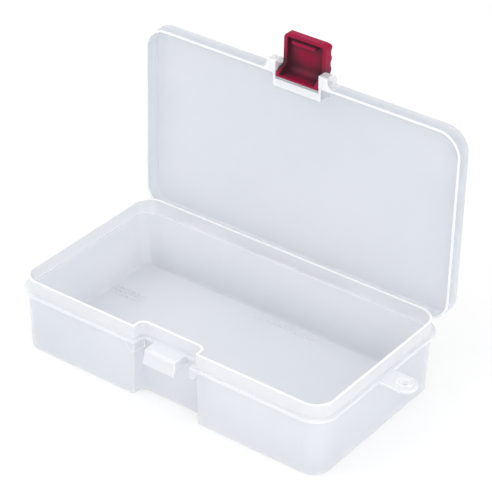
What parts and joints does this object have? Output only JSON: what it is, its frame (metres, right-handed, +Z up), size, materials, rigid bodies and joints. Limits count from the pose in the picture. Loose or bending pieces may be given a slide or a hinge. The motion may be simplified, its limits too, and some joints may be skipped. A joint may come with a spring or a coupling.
{
  "type": "fishing tackle box",
  "caption": "Flat one-compartment tackle box: translucent plastic tray with a rim flange and cord loop, hinged lid on a plastic rod, and a red snap latch on the lid's front edge.",
  "frame": {"origin": "middle of the flat underside", "axes": "+Z up, +X along the length towards the cord loop, -Y towards the latch side, +Y towards the hinge"},
  "size_m": [0.1764, 0.1031, 0.1363],
  "materials": {
    "clear_shell": "milky translucent polypropylene with a fine satin face",
    "red_latch": "smooth semi-gloss crimson",
    "pin_rod": "drawn rod of natural polypropylene"
  },
  "bodies": {
    "tray_body": {"tray": "clear_shell", "hinge_pin": "pin_rod"},
    "lid_body": {"lid": "clear_shell"},
    "latch_body": {"latch": "red_latch"}
  },
  "joints": [
    {"name": "lid_hinge", "type": "hinge", "parent": "tray_body", "child": "lid_body", "pos_m": [0, 0.04535, 0.0292], "axis": [1, 0, 0], "range_deg": [0, 90]},
    {"name": "latch_pivot", "type": "hinge", "parent": "lid_body", "child": "latch_body", "pos_m": [0, 0.05025, 0.1202], "axis": [1, 0, 0], "range_deg": [0, 90]}
  ]
}
